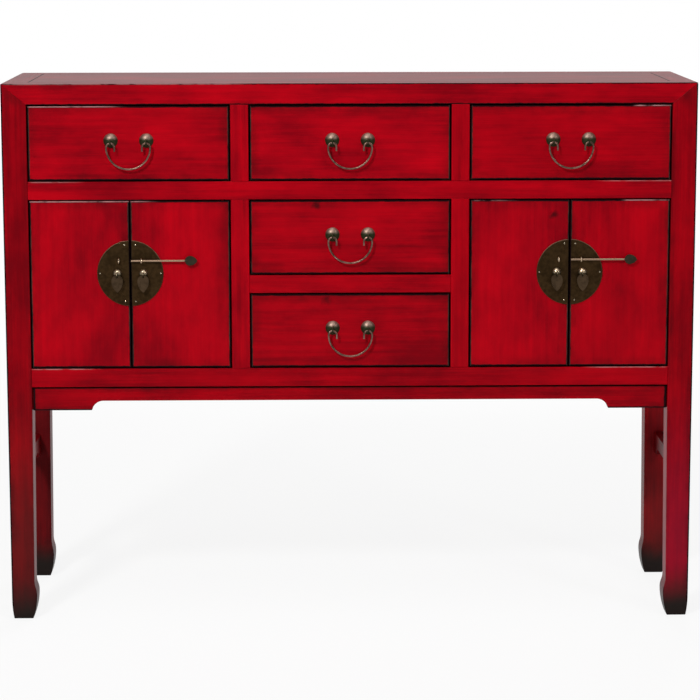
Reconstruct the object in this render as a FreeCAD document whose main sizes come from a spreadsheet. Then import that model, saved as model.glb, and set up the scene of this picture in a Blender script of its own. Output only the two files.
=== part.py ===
import FreeCAD, Part
import math
import os
import Sketcher
from FreeCAD import Placement, Rotation, Vector

# Console table: a lacquered case of five drawers and two door cupboards on four hoof-footed legs.
# X runs along the table, the front faces -Y and Z is up, with the origin on the floor at the
# middle of the table's box, hardware included.

document = FreeCAD.newDocument("console_table")
sheet = document.addObject("Spreadsheet::Sheet", "sizes")

# Driving sizes in millimetres
driving_sizes = [
    # case
    ("width", 1014),
    ("depth", 280),
    ("height", 800),
    ("top_rail_height", 30.5),
    ("drawer_opening", 112),
    ("rail_height", 26.5),
    ("bottom_rail_height", 27.5),
    ("rail_depth", 30),
    ("stile_width", 26.5),
    ("reveal", 2),
    # legs
    ("leg_side", 36.5),
    ("ankle_side", 34),
    ("ankle_height", 58),
    ("hoof_side", 37.5),
    ("hoof_height", 36),
    ("sole_side", 28.5),
    ("toe_inset", 2.5),
    ("toe_height", 30),
    # joinery
    ("fit", 0.15),
    ("tenon_relief", 0.5),
    ("tenon_length", 16),
    ("tenon_shoulder", 3.5),
    ("stile_tenon", 8),
    ("corner_tenon", 8),
    ("corner_tenon_near", 8),
    ("corner_tenon_cover", 9),
    # boards
    ("top_panel_thickness", 12),
    ("tongue_thickness", 5),
    ("tongue_length", 5),
    ("apron_thickness", 16),
    ("apron_setback", 1),
    ("apron_drop", 35),
    ("apron_flat", 88),
    ("apron_gap", 1.8),
    ("apron_gap_depth", 4),
    ("cove_width", 17),
    ("cove_rise", 14),
    ("side_rail_thickness", 20),
    ("side_rail_setback", 1.5),
    ("side_panel_thickness", 10),
    ("side_panel_setback", 5),
    ("stretcher_top", 231.5),
    ("stretcher_height", 31.5),
    ("stretcher_thickness", 15),
    ("stretcher_setback", 5),
    ("stretcher_flat", 28),
    ("stretcher_cove", 10),
    ("back_thickness", 8),
    ("back_setback", 8),
    ("rear_rail_thickness", 24),
    ("floor_thickness", 11),
    ("partition_thickness", 16),
    ("runner_height", 14),
    ("runner_bearing", 14),
    ("guide_height", 20),
    ("guide_play", 0.5),
    # drawers
    ("drawer_front_thickness", 16),
    ("lap_depth", 8),
    ("tray_wall", 10),
    ("tray_height", 86),
    ("tray_bottom", 5),
    ("tray_bottom_rise", 6),
    ("tray_groove", 5),
    ("tray_back_room", 10),
    ("running_play", 0.3),
    # doors
    ("door_thickness", 16),
    ("pivot_inset", 10),
    ("pivot_setback", 6),
    ("pivot_radius", 4),
    ("pivot_length", 8),
    ("pivot_play", 0.05),
    ("pivot_relief", 1),
    # drawer pulls
    ("pull_rise", 4),
    ("pull_spacing", 52),
    ("boss_radius", 10.5),
    ("boss_height", 6),
    ("pull_stand", 8.5),
    ("pull_eye", 4.1),
    ("eye_wire", 0.9),
    ("eye_drop", 1.8),
    ("bail_wire", 1.4),
    ("bail_play", 0.3),
    ("bail_hook", 6),
    ("bail_tail", 6),
    ("shank_radius", 1.4),
    ("shank_play", 0.1),
    ("rivet_radius", 3),
    ("rivet_thickness", 1),
    # locks
    ("lock_rise", 17),
    ("plate_radius", 48.5),
    ("plate_thickness", 1.5),
    ("plate_edge", 1),
    ("lock_boss_spacing", 38),
    ("lock_boss_radius", 6.5),
    ("lock_boss_height", 5.5),
    ("drop_stand", 7),
    ("drop_eye", 3),
    ("drop_eye_wire", 0.8),
    ("drop_eye_fall", 1.5),
    ("drop_hole", 1.4),
    ("drop_rim", 1.1),
    ("drop_half_width", 8.4),
    ("drop_shoulder", 9),
    ("drop_length", 26),
    ("drop_thickness", 1.8),
    ("bolt_rise", 19),
    ("bolt_radius", 1.5),
    ("bolt_length", 82),
    ("bolt_clear", 1.5),
    ("bolt_eye_spacing", 33),
    ("bolt_eye", 3.3),
    ("bolt_eye_gap", 0.3),
    ("grip_length", 18),
    ("grip_half_height", 7),
    ("grip_belly", 7),
    ("grip_thickness", 2),
]
for row, (alias, number) in enumerate(driving_sizes, 1):
    sheet.set(f"A{row}", alias)
    sheet.set(f"B{row}", str(number))
    sheet.setAlias(f"B{row}", alias)
document.recompute()


class Measure:
    """A length: its number and the sheet expression that gives it."""

    def __init__(self, number, text):
        self.number = number
        self.text = text

    def __add__(self, other):
        other = measured(other)
        return Measure(self.number + other.number, f"({self.text} + {other.text})")

    def __sub__(self, other):
        other = measured(other)
        return Measure(self.number - other.number, f"({self.text} - {other.text})")

    def __mul__(self, other):
        other = measured(other)
        return Measure(self.number * other.number, f"({self.text} * {other.text})")

    def __truediv__(self, other):
        other = measured(other)
        return Measure(self.number / other.number, f"({self.text} / {other.text})")

    def __neg__(self):
        return Measure(-self.number, f"(0 - {self.text})")


def measured(length):
    if isinstance(length, Measure):
        return length
    return Measure(length, f"({length})")


def size(alias):
    return Measure(float(getattr(sheet, alias)), f"sizes.{alias}")


def bind(piece, name, length):
    piece.setExpression(name, measured(length).text)


def put(piece, x, y, z):
    for axis, place in zip("xyz", (x, y, z)):
        bind(piece, f"Placement.Base.{axis}", place)
    return piece


# Solids


def block(name, x, y, z):
    piece = document.addObject("Part::Box", name)
    for side, (low, high) in zip(("Length", "Width", "Height"), (x, y, z)):
        bind(piece, side, high - low)
    return put(piece, x[0], y[0], z[0])


def rod(name, radius, length, start, turn):
    piece = document.addObject("Part::Cylinder", name)
    piece.Placement = Placement(Vector(), turn)
    bind(piece, "Radius", radius)
    bind(piece, "Height", length)
    return put(piece, *start)


def ring(name, radius, wire, centre):
    piece = document.addObject("Part::Torus", name)
    piece.Placement = Placement(Vector(), along_x)
    bind(piece, "Radius1", radius)
    bind(piece, "Radius2", wire)
    return put(piece, *centre)


def fused(name, pieces):
    piece = document.addObject("Part::MultiFuse", name)
    piece.Shapes = pieces
    return piece


def grouped(name, pieces):
    piece = document.addObject("Part::Compound", name)
    piece.Links = pieces
    return piece


def shared(name, first, second):
    piece = document.addObject("Part::Common", name)
    piece.Base = first
    piece.Tool = second
    return piece


def carved(name, base, cutters):
    piece = document.addObject("Part::Cut", name)
    piece.Base = base
    piece.Tool = cutters[0] if len(cutters) == 1 else fused(f"{name}_cutters", cutters)
    return piece


along_x = Rotation(Vector(0, 1, 0), 90)
along_y = Rotation(Vector(1, 0, 0), -90)
upright = Rotation()


# Sketches


def arc_between(begin, end, radius, turn):
    chord = end - begin
    half = chord.Length / 2
    rise = math.sqrt(max(radius * radius - half * half, 0))
    left = Vector(-chord.y, chord.x, 0).normalize()
    centre = (begin + end) * 0.5 + left * (rise * turn)
    first, last = (begin, end) if turn > 0 else (end, begin)
    angles = [math.atan2(p.y - centre.y, p.x - centre.x) for p in (first, last)]
    return Part.ArcOfCircle(Part.Circle(centre, Vector(0, 0, 1), radius), *angles)


def pinned(sketch, geometry, point, x, y):
    """Holds one point of the sketch at the sheet's x and y."""
    for kind, place in (("DistanceX", x), ("DistanceY", y)):
        place = measured(place)
        index = sketch.addConstraint(Sketcher.Constraint(kind, -1, 1, geometry, point, place.number))
        bind(sketch, f"Constraints[{index}]", place)


def sketched(body, plane, corners, closed=True):
    """A chain of lines and arcs. A corner is (x, y) after a line, or (x, y, radius, turn) after an arc."""
    sketch = body.newObject("Sketcher::SketchObject", f"{body.Name}_outline")
    support = [f for f in body.Origin.OriginFeatures if f.Role == plane][0]
    sketch.AttachmentSupport = [(support, "")]
    sketch.MapMode = "FlatFace"
    spots = [Vector(measured(c[0]).number, measured(c[1]).number, 0) for c in corners]
    steps = list(zip(range(len(corners)), range(1, len(corners))))
    if closed:
        steps.append((len(corners) - 1, 0))
    ends = []
    for begin, end in steps:
        if len(corners[end]) == 2:
            edge = sketch.addGeometry(Part.LineSegment(spots[begin], spots[end]))
            ends.append((edge, 1, 2))
        else:
            radius, turn = measured(corners[end][2]), corners[end][3]
            edge = sketch.addGeometry(arc_between(spots[begin], spots[end], radius.number, turn))
            ends.append((edge, 1, 2) if turn > 0 else (edge, 2, 1))
            index = sketch.addConstraint(Sketcher.Constraint("Radius", edge, radius.number))
            bind(sketch, f"Constraints[{index}]", radius)
    for (edge, _, finish), (following, start, _) in zip(ends, ends[1:]):
        sketch.addConstraint(Sketcher.Constraint("Coincident", edge, finish, following, start))
    if closed:
        sketch.addConstraint(Sketcher.Constraint("Coincident", ends[-1][0], ends[-1][2], ends[0][0], ends[0][1]))
    for (edge, start, _), (begin, _) in zip(ends, steps):
        pinned(sketch, edge, start, *corners[begin][:2])
    if not closed:
        pinned(sketch, ends[-1][0], ends[-1][2], *corners[-1][:2])
    return sketch


def padded(name, plane, corners, length, start, backwards):
    """A flat outline with a thickness, along the plane's normal or backwards from it."""
    body = document.addObject("PartDesign::Body", name)
    pad = body.newObject("PartDesign::Pad", f"{name}_pad")
    pad.Profile = sketched(body, plane, corners)
    pad.Reversed = backwards
    bind(pad, "Length", length)
    return put(body, *start)


def tangent_radius(sideways, lengthways):
    """Radius of an arc that starts lengthways and ends so far along and to the side."""
    return (sideways * sideways + lengthways * lengthways) / (sideways * 2)


sub_parts = []


def finished(name, piece):
    piece.Label = name
    sub_parts.append(piece)
    return piece


# Places shared by the pieces

half = size("width") / 2
leg = size("leg_side")
reach = size("pull_stand") + size("pull_eye") + size("eye_wire")
front = (reach - size("depth")) / 2
back = front + size("depth")
reveal = size("reveal")
rail_back = front + size("rail_depth")
bay = (size("width") - leg * 2 - size("stile_width") * 2) / 3
bay_step = bay + size("stile_width")
case_half = half - leg

top = size("height")
under_top = top - size("top_rail_height")
mid_top = under_top - size("drawer_opening")
mid_low = mid_top - size("rail_height")
centre_top = mid_low - size("drawer_opening")
centre_low = centre_top - size("rail_height")
base_top = centre_low - size("drawer_opening")
base_low = base_top - size("bottom_rail_height")
apron_foot = base_low - size("apron_drop")

fit = size("fit")
relief = size("tenon_relief")
shoulder = size("tenon_shoulder")
tongue = size("tongue_length")
deep_shoulder = tongue + shoulder
side_rail_inner = size("side_rail_setback") + size("side_rail_thickness")
rail_tenon = leg - side_rail_inner
panel_face = back - size("back_setback") - size("back_thickness")
rear_rail_face = back - size("side_rail_setback") - size("rear_rail_thickness")


def span(origin, hand, begin, length):
    """Low and high ends of a stretch that starts so far from origin, towards hand."""
    ends = (origin + begin * hand, origin + (begin + length) * hand)
    return ends if hand > 0 else ends[::-1]


def both_ways(reach_out):
    return (-reach_out, reach_out)


def tenon(spans, along, length, insets):
    """A bar's spans, drawn out along one axis and drawn in across it."""
    drawn = []
    for axis, (low, high) in enumerate(spans):
        inset = -length if axis == along else insets[axis]
        drawn.append((low + inset, high - inset))
    return drawn


def mortise(spans, along):
    return tenon(spans, along, relief, (-fit, -fit, -fit))


# Panels and the grooves that hold them

panel_half = case_half - fit
panel_z = (top - size("top_panel_thickness"), top)
tongue_mid = top - size("top_panel_thickness") / 2
tongue_z = (tongue_mid - size("tongue_thickness") / 2, tongue_mid + size("tongue_thickness") / 2)
top_field = block("top_field", both_ways(panel_half), (front + leg + fit, back - leg - fit), panel_z)
tongue_spans = (both_ways(case_half + tongue), (front + leg - tongue, back - leg + tongue), tongue_z)
top_panel = fused("top_board", [top_field, block("top_tongue", *tongue_spans)])
finished("top_panel", top_panel)
groove_room = relief + tongue
top_groove = block(
    "top_groove",
    both_ways(case_half + groove_room),
    (front + leg - groove_room, back - leg + groove_room),
    (tongue_z[0] - fit, tongue_z[1] + fit),
)

back_y = (panel_face, panel_face + size("back_thickness"))
back_spans = (both_ways(case_half + tongue), back_y, (base_top - tongue, under_top + tongue))
finished("back_panel", block("back_board", *back_spans))
back_groove = block(
    "back_groove",
    both_ways(case_half + groove_room),
    (back_y[0] - fit, back_y[1] + fit),
    (base_top - groove_room, under_top + groove_room),
)

side_names = {-1: "left", 1: "right"}
side_grooves = {}
for side, side_name in side_names.items():
    outside = half * side
    panel_x = span(outside, -side, size("side_panel_setback"), size("side_panel_thickness"))
    panel_y = (front + leg - tongue, back - leg + tongue)
    panel_rise = (base_top - tongue, under_top + tongue)
    finished(f"side_panel_{side_name}", block(f"{side_name}_side_board", panel_x, panel_y, panel_rise))
    side_grooves[side] = block(
        f"{side_name}_side_groove",
        (panel_x[0] - fit, panel_x[1] + fit),
        (front + leg - groove_room, back - leg + groove_room),
        (base_top - groove_room, under_top + groove_room),
    )

# Front and rear rails, stiles and the cutters for their mortises

front_y = (front, rail_back)
rail_insets = (0, shoulder, shoulder)
mid_spans = (both_ways(case_half), front_y, (mid_low, mid_top))
base_spans = (both_ways(case_half), front_y, (base_low, base_top))
mid_tenon = tenon(mid_spans, 0, rail_tenon, rail_insets)
base_tenon = tenon(base_spans, 0, rail_tenon, rail_insets)
mid_mortise = block("mid_mortise", *mortise(mid_tenon, 0))
base_mortise = block("base_mortise", *mortise(base_tenon, 0))

rear_y = (rear_rail_face, rear_rail_face + size("rear_rail_thickness"))
rear_spans = (both_ways(case_half), rear_y, (base_low, base_top))
rear_tenon = tenon(rear_spans, 0, rail_tenon, (0, shoulder, deep_shoulder))
rear_mortise = block("rear_mortise", *mortise(rear_tenon, 0))

centre_spans = (both_ways(bay / 2), front_y, (centre_low, centre_top))
centre_tenon = tenon(centre_spans, 0, size("stile_tenon"), rail_insets)
centre_mortise = block("centre_mortise", *mortise(centre_tenon, 0))

stile_mortises = {"upper": [], "lower": []}
stile_rise = {"upper": (mid_top, under_top), "lower": (base_top, mid_low)}
for height_name, rise in stile_rise.items():
    for side, side_name in side_names.items():
        name = f"stile_{height_name}_{side_name}"
        stile_x = span(bay_step / 2 * side, side, -size("stile_width") / 2, size("stile_width"))
        spans = (stile_x, front_y, rise)
        stub = tenon(spans, 2, size("stile_tenon"), (shoulder, deep_shoulder, 0))
        stile = fused(f"{name}_bar", [block(f"{name}_post", *spans), block(f"{name}_stub", *stub)])
        stile_mortises[height_name].append(block(f"{name}_mortise", *mortise(stub, 2)))
        if height_name == "lower":
            stile = carved(f"{name}_cut", stile, [centre_mortise])
        finished(name, stile)
centre_bar = fused("centre_bar", [block("centre_span", *centre_spans), block("centre_stub", *centre_tenon)])
finished("centre_rail", centre_bar)

# Door pivots turn in bores of the rails above and below

bays = {-1: "left", 1: "right"}
leaf_names = {(-1, -1): "left_outer", (-1, 1): "left_inner", (1, -1): "right_inner", (1, 1): "right_outer"}
pivot_y = front + size("pivot_setback")
pivot_x = {}
pivot_bores = []
for (bay_side, leaf_side), name in leaf_names.items():
    jamb = bay_step * bay_side + bay / 2 * leaf_side
    pivot_x[name] = jamb - (reveal + size("pivot_inset")) * leaf_side
    bore_low = base_top - size("pivot_length") - size("running_play")
    bore_high = mid_low + size("pivot_length") + size("pivot_relief")
    bore_start = (pivot_x[name], pivot_y, bore_low)
    bore_radius = size("pivot_radius") + size("pivot_play")
    pivot_bores.append(rod(f"bore_{name}", bore_radius, bore_high - bore_low, bore_start, upright))

floor_mid = base_top - size("floor_thickness") / 2
floor_z = (base_top - size("floor_thickness"), base_top)
floor_tongue = (
    both_ways(case_half - shoulder),
    (rail_back - tongue, rear_rail_face + tongue),
    (floor_mid - size("tongue_thickness") / 2, floor_mid + size("tongue_thickness") / 2),
)
floor_groove = block("floor_groove", *mortise(floor_tongue, 1))
floor_pieces = [
    block("floor_between_rails", both_ways(case_half), (rail_back, rear_rail_face), floor_z),
    block("floor_between_legs", both_ways(half - side_rail_inner), (front + leg, back - leg), floor_z),
    block("floor_tongue", *floor_tongue),
]
finished("cabinet_floor", fused("floor_board", floor_pieces))

mid_bar = fused("mid_bar", [block("mid_span", *mid_spans), block("mid_stub", *mid_tenon)])
mid_cutters = stile_mortises["upper"] + stile_mortises["lower"] + pivot_bores
finished("mid_rail", carved("mid_rail_cut", mid_bar, mid_cutters))
base_bar = fused("base_bar", [block("base_span", *base_spans), block("base_stub", *base_tenon)])
base_cutters = stile_mortises["lower"] + pivot_bores + [floor_groove]
finished("bottom_rail", carved("bottom_rail_cut", base_bar, base_cutters))
rear_bar = fused("rear_bar", [block("rear_span", *rear_spans), block("rear_stub", *rear_tenon)])
finished("rear_rail", carved("rear_rail_cut", rear_bar, [back_groove, floor_groove]))

# Apron with a cusped lower edge, under the bottom rail

flat_end = case_half - size("apron_flat")
cove_end = flat_end - size("cove_width")
apron_high = apron_foot + size("cove_rise")
cove = tangent_radius(size("cove_rise"), size("cove_width"))
apron_corners = [
    (-case_half, base_low),
    (case_half, base_low),
    (case_half, apron_foot),
    (flat_end, apron_foot),
    (cove_end, apron_high, cove, 1),
    (-cove_end, apron_high),
    (-flat_end, apron_foot, cove, 1),
    (-case_half, apron_foot),
]
apron_face = front + size("apron_setback")
apron_start = (0, apron_face, 0)
apron_board = padded("apron_board", "XZ_Plane", apron_corners, size("apron_thickness"), apron_start, True)
gap_y = (apron_face, apron_face + size("apron_gap_depth"))
gap_z = (base_low - size("apron_gap"), base_low)
apron_gaps = [block("apron_top_gap", (-case_half, case_half), gap_y, gap_z)]
for side, side_name in side_names.items():
    gap_x = span(case_half * side, -side, measured(0), size("apron_gap"))
    apron_gaps.append(block(f"apron_{side_name}_gap", gap_x, gap_y, (apron_foot, base_low)))
finished("apron_front", carved("apron_cut", apron_board, apron_gaps))

# Side rails under the panels, and low stretchers between the legs


def leg_width(height):
    """The leg's side at a height between ankle and apron."""
    slope = (leg - size("ankle_side")) / (apron_foot - size("ankle_height"))
    return size("ankle_side") + slope * (height - size("ankle_height"))


side_bars = []
stretchers = []
side_mortises = {}
stretch_low = size("stretcher_top") - size("stretcher_height")
stretch_high = stretch_low + size("stretcher_cove")
for side, side_name in side_names.items():
    outside = half * side
    bar_x = span(outside, -side, size("side_rail_setback"), size("side_rail_thickness"))
    bar_spans = (bar_x, (front + leg, back - leg), (base_low, base_top))
    bar_tenon = tenon(bar_spans, 1, size("tenon_length"), (shoulder, 0, deep_shoulder))
    bar_pieces = [block(f"{side_name}_side_span", *bar_spans), block(f"{side_name}_side_stub", *bar_tenon)]
    bar = fused(f"{side_name}_side_bar", bar_pieces)
    side_bars.append(carved(f"{side_name}_side_rail", bar, [side_grooves[side]]))

    low_front, low_back = front + leg_width(stretch_low), back - leg_width(stretch_low)
    high_front = front + leg_width(size("stretcher_top"))
    high_back = back - leg_width(size("stretcher_top"))
    flat, turn_in = size("stretcher_flat"), size("stretcher_flat") + size("stretcher_cove")
    stretch_corners = [
        (high_front, size("stretcher_top")),
        (high_back, size("stretcher_top")),
        (low_back, stretch_low),
        (low_back - flat, stretch_low),
        (low_back - turn_in, stretch_high, size("stretcher_cove"), 1),
        (low_front + turn_in, stretch_high),
        (low_front + flat, stretch_low, size("stretcher_cove"), 1),
        (low_front, stretch_low),
    ]
    stretch_x = span(outside, -side, size("stretcher_setback"), size("stretcher_thickness"))
    board = padded(
        f"{side_name}_stretch_board",
        "YZ_Plane",
        stretch_corners,
        size("stretcher_thickness"),
        (stretch_x[0], 0, 0),
        False,
    )
    stub_y = (front + size("ankle_side"), back - size("ankle_side"))
    stub_spans = (stretch_x, stub_y, (stretch_high, size("stretcher_top")))
    stub = tenon(stub_spans, 1, size("tenon_length"), (shoulder, 0, shoulder))
    stretchers.append(fused(f"{side_name}_stretcher", [board, block(f"{side_name}_stretch_stub", *stub)]))
    side_mortises[side] = [
        block(f"{side_name}_side_mortise", *mortise(bar_tenon, 1)),
        block(f"{side_name}_stretch_mortise", *mortise(stub, 1)),
    ]
finished("side_rails", grouped("side_rail_pair", side_bars))
finished("side_stretchers", grouped("stretcher_pair", stretchers))

# Legs and top rails meet in three-way mitres at the top corners, each leg with two stub tenons


def leg_outline(outside, hand):
    """A leg's face from mitre to sole; hand is the way from its outer to its inner edge."""
    ankle, hoof, sole = size("ankle_side"), size("hoof_side"), size("toe_inset") + size("sole_side")
    bulge = (hoof - ankle) / 2
    fall = (size("ankle_height") - size("hoof_height")) / 2
    swell = tangent_radius(bulge, fall)
    heel = tangent_radius(hoof - sole, size("hoof_height"))
    toe = tangent_radius(size("toe_inset"), size("toe_height"))
    return [
        (outside, top),
        (outside + leg * hand, under_top),
        (outside + leg * hand, apron_foot),
        (outside + ankle * hand, size("ankle_height")),
        (outside + (ankle + bulge) * hand, size("ankle_height") - fall, swell, hand),
        (outside + hoof * hand, size("hoof_height"), swell, -hand),
        (outside + sole * hand, 0, heel, -hand),
        (outside + size("toe_inset") * hand, 0),
        (outside, size("toe_height"), toe, -hand),
    ]


end_names = {-1: "front", 1: "rear"}
end_faces = {-1: front, 1: back}
leg_blank = leg + size("hoof_side")
stub_far = leg - groove_room - shoulder - size("corner_tenon")
stub_z = (under_top - size("corner_tenon"), top - size("corner_tenon_cover"))
front_stub_mortises = {-1: [], 1: []}
side_stub_mortises = {-1: [], 1: []}
for side, side_name in side_names.items():
    for end, end_name in end_names.items():
        name = f"leg_{end_name}_{side_name}"
        outside, face = half * side, end_faces[end]
        face_view = leg_outline(outside, -side)
        side_view = leg_outline(face, -end)
        face_blank = padded(f"{name}_face", "XZ_Plane", face_view, leg_blank, (0, face, 0), end < 0)
        side_blank = padded(f"{name}_side", "YZ_Plane", side_view, leg_blank, (outside, 0, 0), side > 0)
        near, wide = size("corner_tenon_near"), size("corner_tenon")
        long_stub = (span(outside, -side, stub_far, wide), span(face, -end, near, wide), stub_z)
        short_stub = (span(outside, -side, near, wide), span(face, -end, stub_far, wide), stub_z)
        post = fused(
            f"{name}_post",
            [
                shared(f"{name}_turned", face_blank, side_blank),
                block(f"{name}_long_stub", *long_stub),
                block(f"{name}_short_stub", *short_stub),
            ],
        )
        front_stub_mortises[end].append(block(f"{name}_long_mortise", *mortise(long_stub, 2)))
        side_stub_mortises[side].append(block(f"{name}_short_mortise", *mortise(short_stub, 2)))
        cutters = [side_grooves[side]] + side_mortises[side]
        cutters += [mid_mortise, base_mortise] if end < 0 else [back_groove, rear_mortise]
        finished(name, carved(f"{name}_cut", post, cutters))

for end, end_name in end_names.items():
    face = end_faces[end]
    inner = face - leg * end
    plan = [(-half, face), (half, face), (case_half, inner), (-case_half, inner)]
    view = [(-half, top), (half, top), (case_half, under_top), (-case_half, under_top)]
    flat = padded(f"top_{end_name}_plan", "XY_Plane", plan, size("top_rail_height"), (0, 0, under_top), False)
    face_bar = padded(f"top_{end_name}_view", "XZ_Plane", view, leg, (0, face, 0), end < 0)
    bar = shared(f"top_{end_name}_bar", flat, face_bar)
    cutters = [top_groove] + front_stub_mortises[end]
    cutters += stile_mortises["upper"] if end < 0 else [back_groove]
    finished(f"top_rail_{end_name}", carved(f"top_{end_name}_cut", bar, cutters))
for side, side_name in side_names.items():
    outside, inner = half * side, case_half * side
    plan = [(outside, front), (outside, back), (inner, back - leg), (inner, front + leg)]
    view = [(front, top), (back, top), (back - leg, under_top), (front + leg, under_top)]
    flat = padded(f"top_{side_name}_plan", "XY_Plane", plan, size("top_rail_height"), (0, 0, under_top), False)
    end_bar = padded(f"top_{side_name}_view", "YZ_Plane", view, leg, (outside, 0, 0), side > 0)
    bar = shared(f"top_{side_name}_bar", flat, end_bar)
    cutters = [top_groove, side_grooves[side]] + side_stub_mortises[side]
    finished(f"top_rail_{side_name}", carved(f"top_{side_name}_cut", bar, cutters))

# Partitions behind the stiles, and runners with a guide lip for each drawer above the floor

deep_y = (rail_back, panel_face)
partitions = []
for side, side_name in side_names.items():
    board_x = span(bay_step / 2 * side, side, -size("partition_thickness") / 2, size("partition_thickness"))
    partitions.append(block(f"{side_name}_partition", board_x, deep_y, (base_top, under_top)))
finished("partitions", grouped("partition_pair", partitions))

drawers = {
    "left": (-1, mid_top),
    "middle": (0, mid_top),
    "right": (1, mid_top),
    "upper_centre": (0, centre_top),
    "lower_centre": (0, base_top),
}
runners = []
for name, (column, floor) in drawers.items():
    if name == "lower_centre":
        continue
    for side in side_names:
        edge = bay_step * column + bay / 2 * side
        outermost = column == side
        if outermost:
            wall = (half - size("side_panel_setback") - size("side_panel_thickness")) * side
            wall_y = (front + leg, back - leg)
        else:
            wall = edge + (size("stile_width") - size("partition_thickness")) / 2 * side
            wall_y = deep_y
        sill = edge - size("runner_bearing") * side
        lip = edge - (reveal - size("guide_play")) * side
        runner_z = (floor - size("runner_height"), floor)
        lip_z = (floor, floor + size("guide_height"))
        label = f"{name}_{side_names[side]}_runner"
        ends = [(sill, edge), (edge, wall), (lip, wall)]
        spans = [pair if side > 0 else pair[::-1] for pair in ends]
        runner_pieces = [
            block(f"{label}_sill", spans[0], deep_y, runner_z),
            block(f"{label}_block", spans[1], wall_y, runner_z),
            block(f"{label}_lip", spans[2], wall_y, lip_z),
        ]
        runners.append(fused(label, runner_pieces))
finished("drawer_runners", grouped("runner_set", runners))

# Round-headed bosses with an eye, riveted through a board


def dome(name, radius, height, start):
    body = document.addObject("PartDesign::Body", name)
    crown = tangent_radius(height, radius)
    outline = sketched(body, "XY_Plane", [(0, 0), (radius, 0), (0, -height, crown, -1)])
    turned = body.newObject("PartDesign::Revolution", f"{name}_turned")
    turned.Profile = outline
    turned.ReferenceAxis = (outline, ["V_Axis"])
    turned.Angle = 360
    return put(body, *start)


def riveted_eye(name, centre, eye, wire, board_back):
    """A wire eye on a shank that is riveted over behind its board."""
    x, y, z = centre
    shank_start = y + eye
    shank_length = board_back + size("rivet_thickness") - shank_start
    return [
        ring(f"{name}_eye", eye, wire, centre),
        rod(f"{name}_shank", size("shank_radius"), shank_length, (x, shank_start, z), along_y),
        rod(f"{name}_rivet", size("rivet_radius"), size("rivet_thickness"), (x, board_back, z), along_y),
    ]


def shank_hole(name, x, z, board_front, board_back):
    margin = size("rivet_thickness")
    hole_radius = size("shank_radius") + size("shank_play")
    hole_length = board_back - board_front + margin * 2
    return rod(name, hole_radius, hole_length, (x, board_front - margin, z), along_y)


# Drawers: a lapped front, a tray of sides, back and bottom, two bosses and a bail


def bail(name, start):
    """A round wire that hooks through both eyes and hangs in a half circle."""
    body = document.addObject("PartDesign::Body", name)
    post, hook = size("pull_spacing") / 2, size("bail_hook")
    bow = post + hook
    tail_end = -hook - size("bail_tail")
    path = [
        (post - hook, tail_end),
        (post - hook, -hook),
        (post, 0, hook, -1),
        (bow, -hook, hook, -1),
        (0, -hook - bow, bow, -1),
        (-bow, -hook, bow, -1),
        (-post, 0, hook, -1),
        (hook - post, -hook, hook, -1),
        (hook - post, tail_end),
    ]
    spine = sketched(body, "XZ_Plane", path, closed=False)
    section = body.newObject("Sketcher::SketchObject", f"{name}_section")
    floor_plane = [f for f in body.Origin.OriginFeatures if f.Role == "XY_Plane"][0]
    section.AttachmentSupport = [(floor_plane, "")]
    section.MapMode = "FlatFace"
    bind(section, "AttachmentOffset.Base.z", tail_end)
    wire = size("bail_wire")
    circle = Part.Circle(Vector((post - hook).number, 0, 0), Vector(0, 0, 1), wire.number)
    section.addGeometry(circle)
    index = section.addConstraint(Sketcher.Constraint("Radius", 0, wire.number))
    bind(section, f"Constraints[{index}]", wire)
    pinned(section, 0, 3, post - hook, 0)
    document.recompute()
    sweep = body.newObject("PartDesign::AdditivePipe", f"{name}_sweep")
    sweep.Profile = section
    sweep.Spine = (spine, [f"Edge{number}" for number in range(1, len(path))])
    return put(body, *start)


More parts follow.
